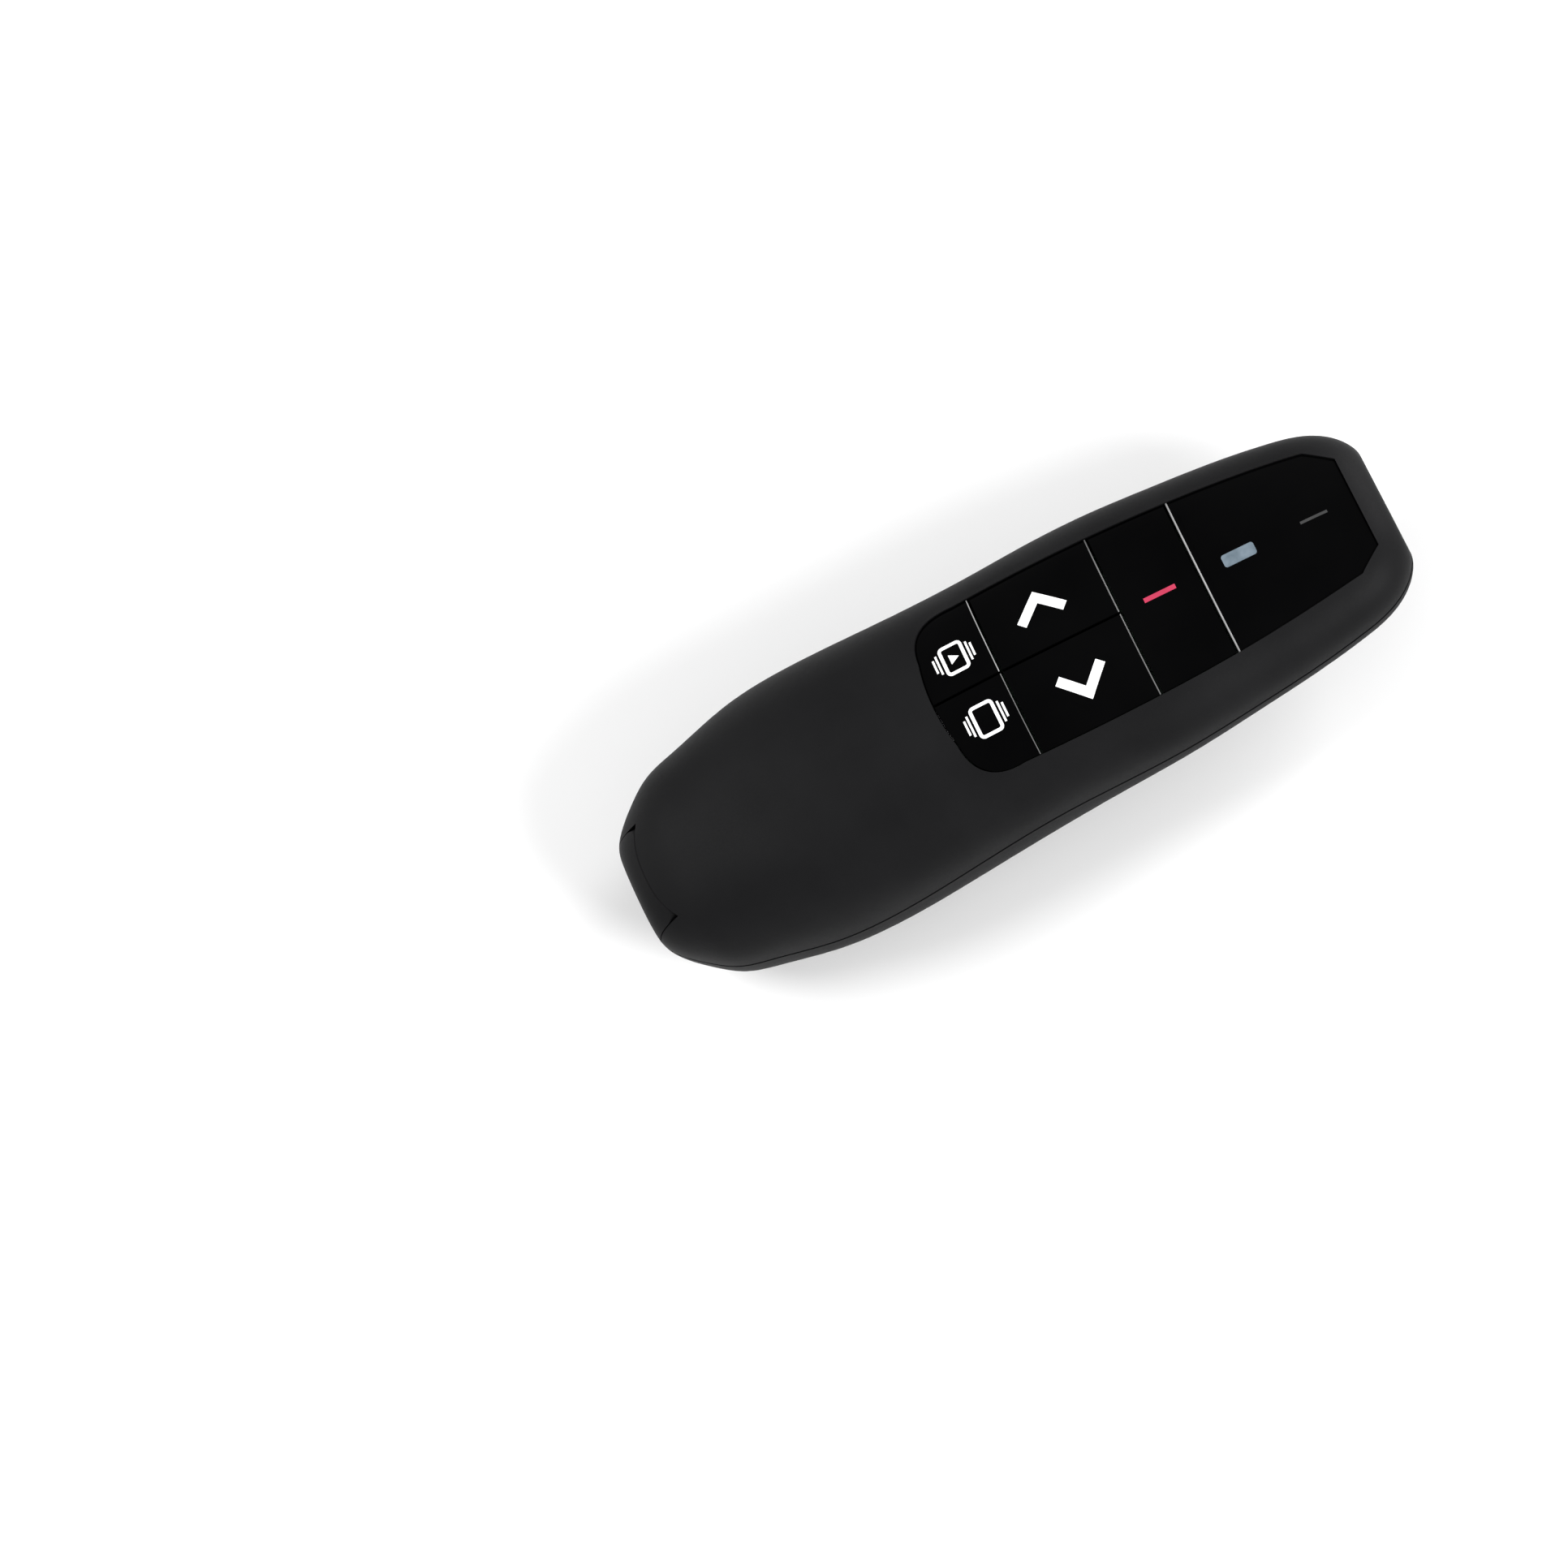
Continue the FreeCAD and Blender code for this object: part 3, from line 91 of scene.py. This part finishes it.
looks = {
    "softShell": {"dark": (0.0042, 0.0042, 0.0046), "light": (0.0068, 0.0068, 0.0073),
                  "toneScale": 60.0, "grainScale": 4200.0, "smooth": 0.48, "rough": 0.62,
                  "bump": 0.35, "specular": 0.07},
    "doorShell": {"dark": (0.005, 0.005, 0.0054), "light": (0.0078, 0.0078, 0.0082),
                  "toneScale": 75.0, "grainScale": 3600.0, "smooth": 0.5, "rough": 0.66,
                  "bump": 0.4, "specular": 0.07},
    "glossPanel": {"dark": (0.0006, 0.0006, 0.0007), "light": (0.0014, 0.0014, 0.0015),
                   "toneScale": 45.0, "grainScale": 900.0, "smooth": 0.06, "rough": 0.13,
                   "bump": 0.03, "specular": 0.02},
    # Painted highlights for the beads along the key rims: a light grey, and a dimmer grey for
    # the fainter rims.
    "paintedEdgeHighlight": {"dark": (0.2, 0.2, 0.2), "light": (0.34, 0.34, 0.34),
                  "toneScale": 160.0, "grainScale": 1400.0, "smooth": 0.25, "rough": 0.4,
                  "bump": 0.05},
    "dimPaintedEdgeHighlight": {"dark": (0.07, 0.07, 0.07), "light": (0.13, 0.13, 0.13),
                  "toneScale": 160.0, "grainScale": 1400.0, "smooth": 0.25, "rough": 0.4,
                  "bump": 0.05},
    # The prints also get a faint emission, a painted glow that makes them a little brighter
    # than the lamps alone would.
    "whitePrint": {"dark": (0.86, 0.86, 0.86), "light": (0.95, 0.95, 0.95),
                   "toneScale": 300.0, "grainScale": 2500.0, "smooth": 0.35, "rough": 0.5,
                   "bump": 0.08, "glow": 0.12},
    "redPrint": {"dark": (0.38, 0.016, 0.055), "light": (0.5, 0.028, 0.085),
                 "toneScale": 300.0, "grainScale": 2500.0, "smooth": 0.35, "rough": 0.5,
                 "bump": 0.08, "glow": 0.02},
    "greyPrint": {"dark": (0.014, 0.014, 0.0145), "light": (0.024, 0.024, 0.0245),
                  "toneScale": 300.0, "grainScale": 2500.0, "smooth": 0.35, "rough": 0.5,
                  "bump": 0.08},
    "lightWindow": {"dark": (0.09, 0.125, 0.155), "light": (0.15, 0.195, 0.235),
                    "toneScale": 500.0, "grainScale": 1800.0, "smooth": 0.12, "rough": 0.25,
                    "bump": 0.05},
    "clearRed": {"dark": (0.08, 0.005, 0.005), "light": (0.13, 0.008, 0.008),
                 "toneScale": 200.0, "grainScale": 1500.0, "smooth": 0.04, "rough": 0.1,
                 "bump": 0.02, "clear": 0.6},
    "brass": {"dark": (0.5, 0.34, 0.12), "light": (0.66, 0.47, 0.19), "toneScale": 220.0,
              "grainScale": 2200.0, "smooth": 0.22, "rough": 0.4, "bump": 0.1, "metal": 1.0},
    "steel": {"dark": (0.5, 0.5, 0.51), "light": (0.68, 0.68, 0.69), "toneScale": 240.0,
              "grainScale": 2600.0, "smooth": 0.2, "rough": 0.38, "bump": 0.12, "metal": 1.0},
    "boardGreen": {"dark": (0.008, 0.06, 0.022), "light": (0.014, 0.1, 0.036),
                   "toneScale": 400.0, "grainScale": 1600.0, "smooth": 0.25, "rough": 0.45,
                   "bump": 0.1},
    "chipBlack": {"dark": (0.01, 0.01, 0.01), "light": (0.02, 0.02, 0.02),
                  "toneScale": 300.0, "grainScale": 3000.0, "smooth": 0.5, "rough": 0.7,
                  "bump": 0.2},
    "switchGrey": {"dark": (0.07, 0.07, 0.07), "light": (0.11, 0.11, 0.11),
                   "toneScale": 200.0, "grainScale": 3000.0, "smooth": 0.4, "rough": 0.6,
                   "bump": 0.2},
    "cellWrap": {"dark": (0.03, 0.05, 0.08), "light": (0.05, 0.075, 0.11),
                 "toneScale": 90.0, "grainScale": 1400.0, "smooth": 0.2, "rough": 0.35,
                 "bump": 0.05, "metal": 0.4},
}
paint = {name: makeMaterial(name, look) for name, look in looks.items()}

keyNames = ["laser_key", "back_key", "next_key", "slideshow_key", "blank_key"]
nodePaint = {
    "softShell": ["top_cover", "bottom_case", "receiver_shell"],
    "doorShell": ["battery_door"],
    "glossPanel": ["front_window"] + keyNames,
    "lightWindow": ["status_light_pipe", "status_led"],
    "clearRed": ["nose_lens", "laser_lens"],
    "brass": ["laser_barrel"],
    "steel": ["case_screws", "board_screws", "crystal", "receiver_plug", "bridge_contact",
              "positive_contact", "negative_contact"],
    "boardGreen": ["circuit_board", "laser_driver_board"],
    "chipBlack": ["main_chip", "board_passives"],
    "redPrint": ["laser_leads"],
    "switchGrey": ["power_slider", "power_switch_lever", "power_switch_base",
                   "receiver_tongue"] + [k + part for k in keyNames
                                         for part in ("_switch", "_plunger")],
    "cellWrap": ["cell_left", "cell_right"],
}
for paintName, members in nodePaint.items():
    for member in members:
        if not nodes[member].data.materials:
            nodes[member].data.materials.append(paint[paintName])
        for slot in nodes[member].material_slots:
            slot.material = paint[paintName]
print("materials made")


# Prints laid on the keys and the window, in millimetres

printSettings = {"lift": 0.02, "step": 0.35, "mitreLimit": 0.35, "cornerSteps": 5,
                 "rings": (1.0, 0.75, 0.5, 0.25)}


def surfaceOf(node):  # what a print is dropped on
    mesh = nodes[node].data
    corners = [v.co.copy() for v in mesh.vertices]
    return BVHTree.FromPolygons(corners, [tuple(p.vertices) for p in mesh.polygons])


def dense(points, closed):  # points close enough together to follow the key's crown
    filled = []
    count = len(points)
    last = count if closed else count - 1
    for i in range(last):
        a = Vector(points[i])
        b = Vector(points[(i + 1) % count])
        parts = max(1, int((b - a).length / printSettings["step"]))
        filled += [a.lerp(b, k / parts) for k in range(parts)]
    if not closed:
        filled.append(Vector(points[-1]))
    return filled


def roundedBox(x, y, halfX, halfY, corner):
    points = []
    steps = printSettings["cornerSteps"]
    for cx, cy, start in ((1, 1, 0), (-1, 1, 90), (-1, -1, 180), (1, -1, 270)):
        for k in range(steps + 1):
            turn = math.radians(start + 90 * k / steps)
            points.append((x + cx * (halfX - corner) + corner * math.cos(turn),
                           y + cy * (halfY - corner) + corner * math.sin(turn)))
    return points


def strokeFaces(bm, line, width, closed):  # a ribbon mitred at its corners
    points = dense(line, closed)
    count = len(points)
    sides = []
    for i in range(count):
        before = points[i - 1] if closed or i > 0 else None
        after = points[(i + 1) % count] if closed or i < count - 1 else None
        inward = (points[i] - before).normalized() if before is not None else None
        outward = (after - points[i]).normalized() if after is not None else None
        inward = inward or outward
        outward = outward or inward
        normalIn = Vector((-inward.y, inward.x))
        normalOut = Vector((-outward.y, outward.x))
        mitre = (normalIn + normalOut).normalized()
        reach = width / 2 / max(printSettings["mitreLimit"], mitre.dot(normalIn))
        sides.append([bm.verts.new((points[i].x + s * mitre.x * reach,
                                    points[i].y + s * mitre.y * reach, 0)) for s in (1, 0, -1)])
    for i in range(count if closed else count - 1):
        a, b = sides[i], sides[(i + 1) % count]
        for k in range(2):
            bm.faces.new((a[k], a[k + 1], b[k + 1], b[k]))


def patchFaces(bm, outline):  # rings that shrink to the middle
    edge = dense(outline, True)
    middle = sum(edge, Vector((0, 0))) / len(edge)
    rings = []
    for share in printSettings["rings"]:
        rings.append([bm.verts.new((*middle.lerp(p, share), 0)) for p in edge])
    count = len(edge)
    for outerRing, innerRing in zip(rings, rings[1:]):
        for i in range(count):
            j = (i + 1) % count
            bm.faces.new((outerRing[i], outerRing[j], innerRing[j], innerRing[i]))
    bm.faces.new(rings[-1])


def layPrint(name, node, body, material, strokes, patches=()):
    lift = printSettings["lift"] * mm
    bm = bmesh.new()
    for line, width, closed in strokes:
        strokeFaces(bm, line, width, closed)
    for outline in patches:
        patchFaces(bm, outline)
    tree = surfaceOf(node)
    for vert in bm.verts:
        above = Vector((vert.co.x * mm, vert.co.y * mm, 1.0))
        vert.co = tree.ray_cast(above, Vector((0, 0, -1)))[0] + Vector((0, 0, lift))
    bmesh.ops.recalc_face_normals(bm, faces=bm.faces)
    if sum(f.normal.z for f in bm.faces) < 0:
        bmesh.ops.reverse_faces(bm, faces=bm.faces)
    mesh = bpy.data.meshes.new(name)
    bm.to_mesh(mesh)
    bm.free()
    piece = bpy.data.objects.new(name, mesh)
    scene.collection.objects.link(piece)
    thick = piece.modifiers.new("thickness", "SOLIDIFY")
    thick.thickness = lift
    thick.offset = -1.0
    mesh.materials.append(paint[material])
    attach(piece, body)


backMark = {"x": 9.95, "y": 6.15, "halfX": 3.25, "depth": 3.1, "width": 1.4}
nextMark = {"x": 10.95, "y": -6.5, "halfX": 3.25, "depth": -3.3, "width": 1.4}
for markName, key, mark in (("back_mark", "back_key", backMark),
                            ("next_mark", "next_key", nextMark)):
    tip = mark["y"] + mark["depth"] / 2
    foot = mark["y"] - mark["depth"] / 2
    chevron = [(mark["x"] - mark["halfX"], foot), (mark["x"], tip),
               (mark["x"] + mark["halfX"], foot)]
    layPrint(markName, key, key + "_body", "whitePrint",
             [(chevron, mark["width"], False)])

showMark = {"x": -3.5, "y": 5.0, "halfX": 1.55, "halfY": 2.05}
blankMark = {"x": -3.15, "y": -5.0, "halfX": 1.6, "halfY": 2.15}
screenSign = {"corner": 0.5, "line": 0.48, "barLine": 0.2976, "arrowBack": 0.6, "arrow": 0.75,
              "bars": ((0.72, 0.72), (1.27, 0.5))}  # how far out, and its share of the height
for markName, key, mark in (("slideshow_mark", "slideshow_key", showMark),
                            ("blank_mark", "blank_key", blankMark)):
    x, y = mark["x"], mark["y"]
    outline = roundedBox(x, y, mark["halfX"], mark["halfY"], screenSign["corner"])
    strokes = [(outline, screenSign["line"], True)]
    for side in (-1, 1):
        for offset, share in screenSign["bars"]:
            barX = x + side * (mark["halfX"] + offset)
            half = mark["halfY"] * share
            strokes.append(([(barX, y - half), (barX, y + half)], screenSign["barLine"], False))
    back, arrow = screenSign["arrowBack"], screenSign["arrow"]
    play = [(x - back, y + arrow), (x - back, y - arrow), (x + arrow, y)]
    layPrint(markName, key, key + "_body", "whitePrint", strokes,
             [play] if key == "slideshow_key" else [])

laserMark = {"y": 0, "from": 23.05, "to": 27.75, "line": 0.7}
windowMark = {"y": 0.2, "from": 46.6, "to": 50.6, "line": 0.4}
statusMark = {"x": 37.3, "y": 0, "halfX": 2.4, "halfY": 0.95, "corner": 0.4}


def layDash(name, node, body, material, mark):
    dash = [(mark["from"], mark["y"]), (mark["to"], mark["y"])]
    layPrint(name, node, body, material, [(dash, mark["line"], False)])


layDash("laser_mark", "laser_key", "laser_key_body", "redPrint", laserMark)
layPrint("status_light", "front_window", "housing", "lightWindow", [],
         [roundedBox(**statusMark)])
layDash("window_mark", "front_window", "housing", "greyPrint", windowMark)
print("prints laid")


# Painted highlights: light grey beads laid along the rounded-off rims of the keys and
# the window, standing in for the light those rims catch. Radius and lowest height are in
# millimetres, and way is the side along X that the edge faces.

edgeHighlights = {
    "front_window": {"radius": 0.13, "way": -1, "lowest": 23.0, "highlightPaint": "paintedEdgeHighlight"},
    "back_key": {"radius": 0.1, "way": 1, "lowest": 24.0, "highlightPaint": "dimPaintedEdgeHighlight"},
    "next_key": {"radius": 0.09, "way": 1, "lowest": 24.0, "highlightPaint": "dimPaintedEdgeHighlight"},
    "slideshow_key": {"radius": 0.08, "way": 1, "lowest": 24.6, "highlightPaint": "paintedEdgeHighlight"},
    "blank_key": {"radius": 0.07, "way": 1, "lowest": 24.6, "highlightPaint": "dimPaintedEdgeHighlight"},
}
beadSettings = {"sides": 8, "inset": 0.6, "topFacesUp": 0.75, "wallTilt": 0.25,
                "wallFaces": 0.9, "weld": 1e-6}


# Sweeps a thin tube along a key rim and paints it a highlight grey.
def makeBeadTree(highlightName):
    tree = bpy.data.node_groups.new(highlightName, "GeometryNodeTree")
    tree.interface.new_socket("Geometry", in_out="INPUT", socket_type="NodeSocketGeometry")
    size = tree.interface.new_socket("Radius", in_out="INPUT", socket_type="NodeSocketFloat")
    tree.interface.new_socket("Geometry", in_out="OUTPUT", socket_type="NodeSocketGeometry")
    add = tree.nodes.new
    start = add("NodeGroupInput")
    line = add("GeometryNodeMeshToCurve")  # the edge's own points become the path
    profile = add("GeometryNodeCurvePrimitiveCircle")
    profile.inputs["Resolution"].default_value = beadSettings["sides"]
    sweep = add("GeometryNodeCurveToMesh")
    sweep.inputs["Fill Caps"].default_value = True
    real = add("GeometryNodeRealizeInstances")
    highlightPaint = add("GeometryNodeSetMaterial")
    highlightPaint.inputs["Material"].default_value = paint[highlightName]
    end = add("NodeGroupOutput")
    wire(tree, start, "Geometry", line, "Mesh")
    wire(tree, start, "Radius", profile, "Radius")
    wire(tree, line, "Curve", sweep, "Curve")
    wire(tree, profile, "Curve", sweep, "Profile Curve")
    wire(tree, sweep, "Mesh", real, "Geometry")
    wire(tree, real, "Geometry", highlightPaint, "Geometry")
    wire(tree, highlightPaint, "Geometry", end, "Geometry")
    return tree, size.identifier


beadTrees = {name: makeBeadTree(name) for name in ("paintedEdgeHighlight", "dimPaintedEdgeHighlight")}


def isRim(edge, settings):  # between a key's top face and its front or rear wall
    if len(edge.link_faces) != 2:
        return False
    wall, top = sorted(edge.link_faces, key=lambda f: f.normal.z)
    return (top.normal.z >= beadSettings["topFacesUp"]
            and abs(wall.normal.z) <= beadSettings["wallTilt"]
            and wall.normal.x * settings["way"] >= beadSettings["wallFaces"]
            and min(v.co.z for v in edge.verts) >= settings["lowest"] * mm)


def rimPath(node, settings):
    source = bmesh.new()
    source.from_mesh(nodes[node].data)
    bmesh.ops.remove_doubles(source, verts=source.verts, dist=beadSettings["weld"])
    bm = bmesh.new()
    made = {}
    inset = settings["radius"] * mm * beadSettings["inset"]
    for edge in source.edges:
        if not isRim(edge, settings):
            continue
        wall = min(edge.link_faces, key=lambda f: f.normal.z)
        for vert in edge.verts:
            if vert.index not in made:
                made[vert.index] = bm.verts.new(vert.co - wall.normal * inset)
        bm.edges.new([made[v.index] for v in edge.verts])
    source.free()
    path = bpy.data.meshes.new(node + "_path")
    bm.to_mesh(path)
    bm.free()
    return path


def layEdgeHighlight(node, body, settings):
    path = rimPath(node, settings)
    holder = bpy.data.objects.new(node + "_path", path)
    scene.collection.objects.link(holder)
    sweep = holder.modifiers.new("bead", "NODES")
    beadTree, radiusInput = beadTrees[settings["highlightPaint"]]
    sweep.node_group = beadTree
    sweep[radiusInput] = settings["radius"] * mm
    bpy.context.view_layer.update()
    solid = holder.evaluated_get(bpy.context.evaluated_depsgraph_get())
    mesh = bpy.data.meshes.new_from_object(solid)
    bpy.data.objects.remove(holder)
    bpy.data.meshes.remove(path)
    mesh.name = node + "_edge_highlight"
    piece = bpy.data.objects.new(node + "_edge_highlight", mesh)
    scene.collection.objects.link(piece)
    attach(piece, body)


for node, settings in edgeHighlights.items():
    body = "housing" if node == "front_window" else node + "_body"
    layEdgeHighlight(node, body, settings)
print("edges made")


# Floor, lights and camera, in metres

floorLook = {"tone": 0.93, "rough": 0.9, "fadeStart": 0.4, "fadeEnd": 0.95, "reach": 1.2}
floorMaterial = bpy.data.materials.new("floor")
floorMaterial.use_nodes = True
tree = floorMaterial.node_tree
floorShader = tree.nodes["Principled BSDF"]
floorShader.inputs["Base Color"].default_value = (*[floorLook["tone"]] * 3, 1.0)
floorShader.inputs["Roughness"].default_value = floorLook["rough"]
place = tree.nodes.new("ShaderNodeTexCoord")
away = tree.nodes.new("ShaderNodeVectorMath")  # the floor fades into the white far out
away.operation = "LENGTH"
wire(tree, place, "Object", away, 0)
fade = tree.nodes.new("ShaderNodeMapRange")
fade.interpolation_type = "SMOOTHSTEP"
fade.inputs["From Min"].default_value = floorLook["fadeStart"]
fade.inputs["From Max"].default_value = floorLook["fadeEnd"]
wire(tree, away, "Value", fade, "Value")
blend = tree.nodes.new("ShaderNodeMixShader")
wire(tree, fade, "Result", blend, "Fac")
wire(tree, floorShader, "BSDF", blend, 1)
wire(tree, tree.nodes.new("ShaderNodeBsdfTransparent"), "BSDF", blend, 2)
wire(tree, blend, "Shader", tree.nodes["Material Output"], "Surface")
floorMesh = bpy.data.meshes.new("floor")
reach = floorLook["reach"]
floorMesh.from_pydata([(-reach, -reach, 0), (reach, -reach, 0), (reach, reach, 0),
                       (-reach, reach, 0)], [], [(0, 1, 2, 3)])
floorMesh.materials.append(floorMaterial)
floor = bpy.data.objects.new("floor", floorMesh)
scene.collection.objects.link(floor)

studio = {"seen": 1.0, "soft": 0.42}  # strength in view and in gloss, and as light
world = bpy.data.worlds.new("studio")
scene.world = world
world.use_nodes = True
tree = world.node_tree
seen = tree.nodes["Background"]
seen.inputs["Color"].default_value = (1.0, 1.0, 1.0, 1.0)
seen.inputs["Strength"].default_value = studio["seen"]
soft = tree.nodes.new("ShaderNodeBackground")
soft.inputs["Color"].default_value = (1.0, 1.0, 1.0, 1.0)
soft.inputs["Strength"].default_value = studio["soft"]
rays = tree.nodes.new("ShaderNodeLightPath")
shiny = tree.nodes.new("ShaderNodeMath")  # gloss and clear parts show the white too
shiny.operation = "MAXIMUM"
wire(tree, rays, "Is Glossy Ray", shiny, 0)
wire(tree, rays, "Is Transmission Ray", shiny, 1)
white = tree.nodes.new("ShaderNodeMath")
white.operation = "MAXIMUM"
wire(tree, rays, "Is Camera Ray", white, 0)
wire(tree, shiny, "Value", white, 1)
choice = tree.nodes.new("ShaderNodeMixShader")
wire(tree, white, "Value", choice, "Fac")
wire(tree, soft, "Background", choice, 1)
wire(tree, seen, "Background", choice, 2)
wire(tree, choice, "Shader", tree.nodes["World Output"], "Surface")


lamps = {
    "keyLight": {"place": (0.6, -0.75, 0.55), "size": 0.6, "power": 14.0},
    "fillLight": {"place": (-0.7, 0.45, 0.9), "size": 0.7, "power": 9.0},
    "rimLight": {"place": (0.85, 0.35, 0.3), "size": 0.4, "power": 5.0},
}
lampAim = Vector((0, 0, 0.01))
for name, lamp in lamps.items():
    disk = bpy.data.lights.new(name, "AREA")
    disk.shape = "DISK"
    disk.size = lamp["size"]
    disk.energy = lamp["power"]
    holder = bpy.data.objects.new(name, disk)
    scene.collection.objects.link(holder)
    turn = (lampAim - Vector(lamp["place"])).to_track_quat("-Z", "Y")
    holder.matrix_world = Matrix.Translation(lamp["place"]) @ turn.to_matrix().to_4x4()

shot = {"azimuth": 10.9, "elevation": 68.9, "roll": -37.6, "distance": 0.9,
        "aim": (0, 0, 0.014), "pixelsPerMetre": 8975.0, "middle": (1247.4, 867.4),
        "side": 1932.0, "sensor": 36.0, "nearest": 0.05}
azimuth, elevation, roll = (math.radians(shot[n]) for n in ("azimuth", "elevation", "roll"))
backward = Vector((math.sin(azimuth) * math.cos(elevation),
                   -math.cos(azimuth) * math.cos(elevation), math.sin(elevation)))
right = Vector((math.cos(azimuth), math.sin(azimuth), 0))
upward = backward.cross(right)
turnedRight = math.cos(roll) * right + math.sin(roll) * upward
turnedUp = -math.sin(roll) * right + math.cos(roll) * upward
spot = Vector(shot["aim"]) + backward * shot["distance"]
cameraData = bpy.data.cameras.new("camera")
cameraData.sensor_width = shot["sensor"]
cameraData.lens = shot["sensor"] * shot["pixelsPerMetre"] * shot["distance"] / shot["side"]
cameraData.shift_x = -(shot["middle"][0] - shot["side"] / 2) / shot["side"]
cameraData.shift_y = (shot["middle"][1] - shot["side"] / 2) / shot["side"]
cameraData.clip_start = shot["nearest"]
camera = bpy.data.objects.new("camera", cameraData)
scene.collection.objects.link(camera)
rows = [(turnedRight[i], turnedUp[i], backward[i], spot[i]) for i in range(3)]
camera.matrix_world = Matrix(rows + [(0, 0, 0, 1)])
scene.camera = camera
scene.view_settings.view_transform = "Standard"
print("stage set")
